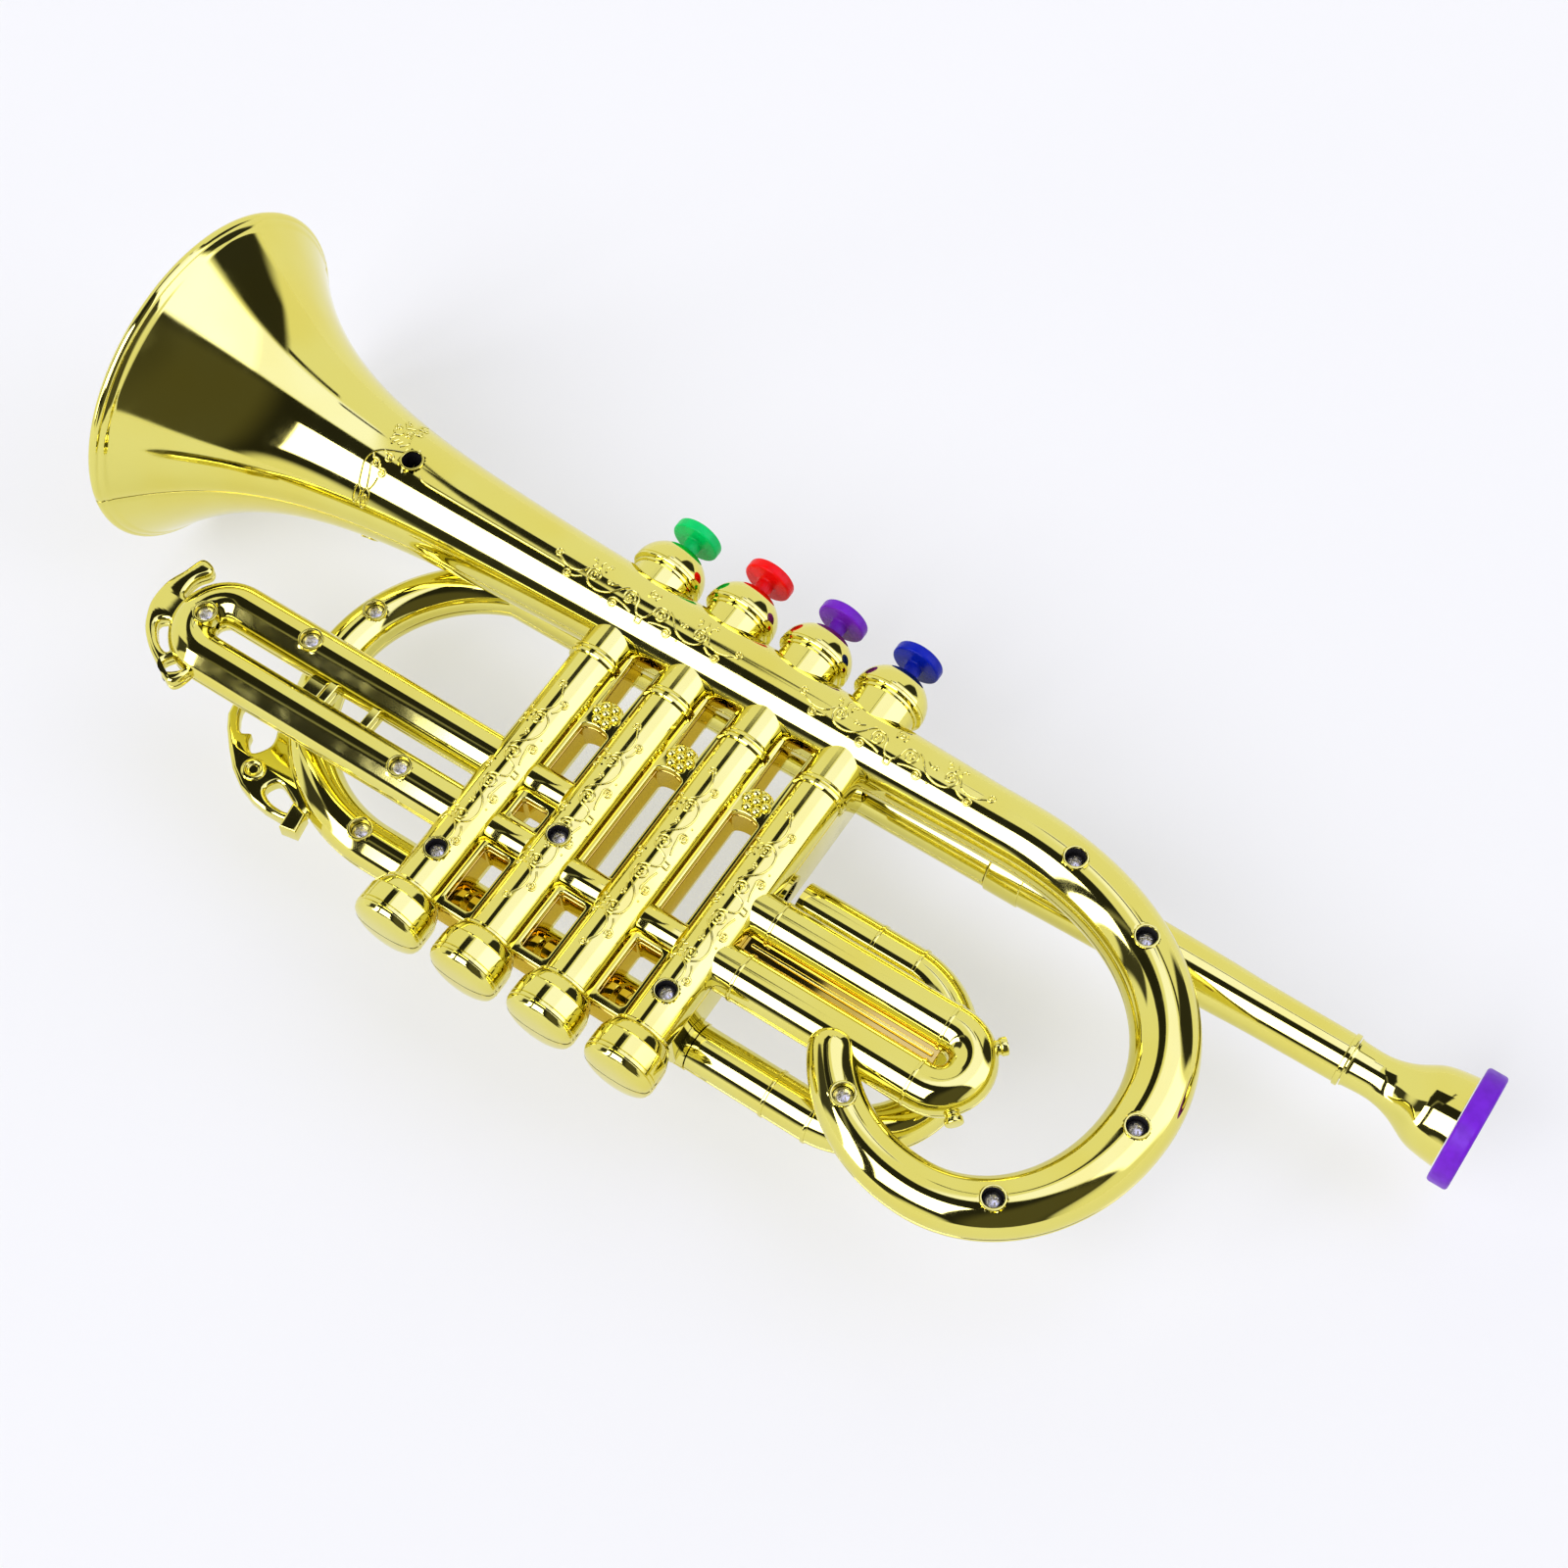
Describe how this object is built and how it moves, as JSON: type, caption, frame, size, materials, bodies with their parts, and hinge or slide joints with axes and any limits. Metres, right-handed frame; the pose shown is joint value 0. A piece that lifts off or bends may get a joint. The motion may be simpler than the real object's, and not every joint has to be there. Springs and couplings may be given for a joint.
{
  "type": "toy trumpet",
  "caption": "Gold plated plastic toy trumpet with a flared bell, looped tube, finger slides and coloured spring keys on domed valve casings, screwed together from half shells",
  "frame": {"origin": "centre of the bounding box footprint, on the plane that the rim of the bell and the trumpet's back reach", "axes": "+X runs along the bell axis from the bell toward the mouthpiece, +Y points to the side that the keys stand on, +Z points from the plain back to the side with the screws"},
  "size_m": [0.3982, 0.1608, 0.1],
  "materials": {
    "plated": "gold vacuum plated, mirror gloss",
    "ring": "gloss",
    "key_green": "gloss",
    "key_red": "gloss",
    "key_violet": "gloss",
    "key_blue": "gloss",
    "screw_steel": "zinc plated",
    "reed_brass": "bare strip",
    "pad_rubber": "matte",
    "block_plastic": "satin"
  },
  "bodies": {
    "frame": {"bell_tube_front": "plated", "bell_tube_back": "plated", "valve_body_front": "plated", "valve_body_back": "plated", "left_slide_front": "plated", "left_slide_back": "plated", "right_slide_front": "plated", "right_slide_back": "plated", "rear_pipe_front": "plated", "rear_pipe_back": "plated", "rear_slide_front": "plated", "rear_slide_back": "plated", "arc_brace": "plated", "mouth_pipe": "plated", "mouthpiece_cup": "plated", "mouthpiece_ring": "ring", "reed_block": "block_plastic", "dome_cap_1": "plated", "dome_cap_2": "plated", "dome_cap_3": "plated", "dome_cap_4": "plated", "key_spring_1": "screw_steel", "key_spring_2": "screw_steel", "key_spring_3": "screw_steel", "key_spring_4": "screw_steel", "reed_1": "reed_brass", "reed_2": "reed_brass", "reed_3": "reed_brass", "reed_4": "reed_brass", "screw_1": "screw_steel", "screw_2": "screw_steel", "screw_3": "screw_steel", "screw_4": "screw_steel", "screw_5": "screw_steel", "screw_6": "screw_steel", "screw_7": "screw_steel", "screw_8": "screw_steel", "screw_9": "screw_steel", "screw_10": "screw_steel", "screw_11": "screw_steel", "screw_12": "screw_steel", "screw_13": "screw_steel", "screw_14": "screw_steel"},
    "button_1": {"key_1": "key_green", "key_pad_1": "pad_rubber"},
    "button_2": {"key_2": "key_red", "key_pad_2": "pad_rubber"},
    "button_3": {"key_3": "key_violet", "key_pad_3": "pad_rubber"},
    "button_4": {"key_4": "key_blue", "key_pad_4": "pad_rubber"}
  },
  "joints": [
    {"name": "press_1", "type": "slide", "parent": "frame", "child": "button_1", "axis": [0, -1, 0], "range_m": [0, 0.003], "stiffness_N_per_m": 120, "springref_m": -0.003, "deforming": ["key_spring_1"]},
    {"name": "press_2", "type": "slide", "parent": "frame", "child": "button_2", "axis": [0, -1, 0], "range_m": [0, 0.003], "stiffness_N_per_m": 120, "springref_m": -0.003, "deforming": ["key_spring_2"]},
    {"name": "press_3", "type": "slide", "parent": "frame", "child": "button_3", "axis": [0, -1, 0], "range_m": [0, 0.003], "stiffness_N_per_m": 120, "springref_m": -0.003, "deforming": ["key_spring_3"]},
    {"name": "press_4", "type": "slide", "parent": "frame", "child": "button_4", "axis": [0, -1, 0], "range_m": [0, 0.003], "stiffness_N_per_m": 120, "springref_m": -0.003, "deforming": ["key_spring_4"]}
  ]
}
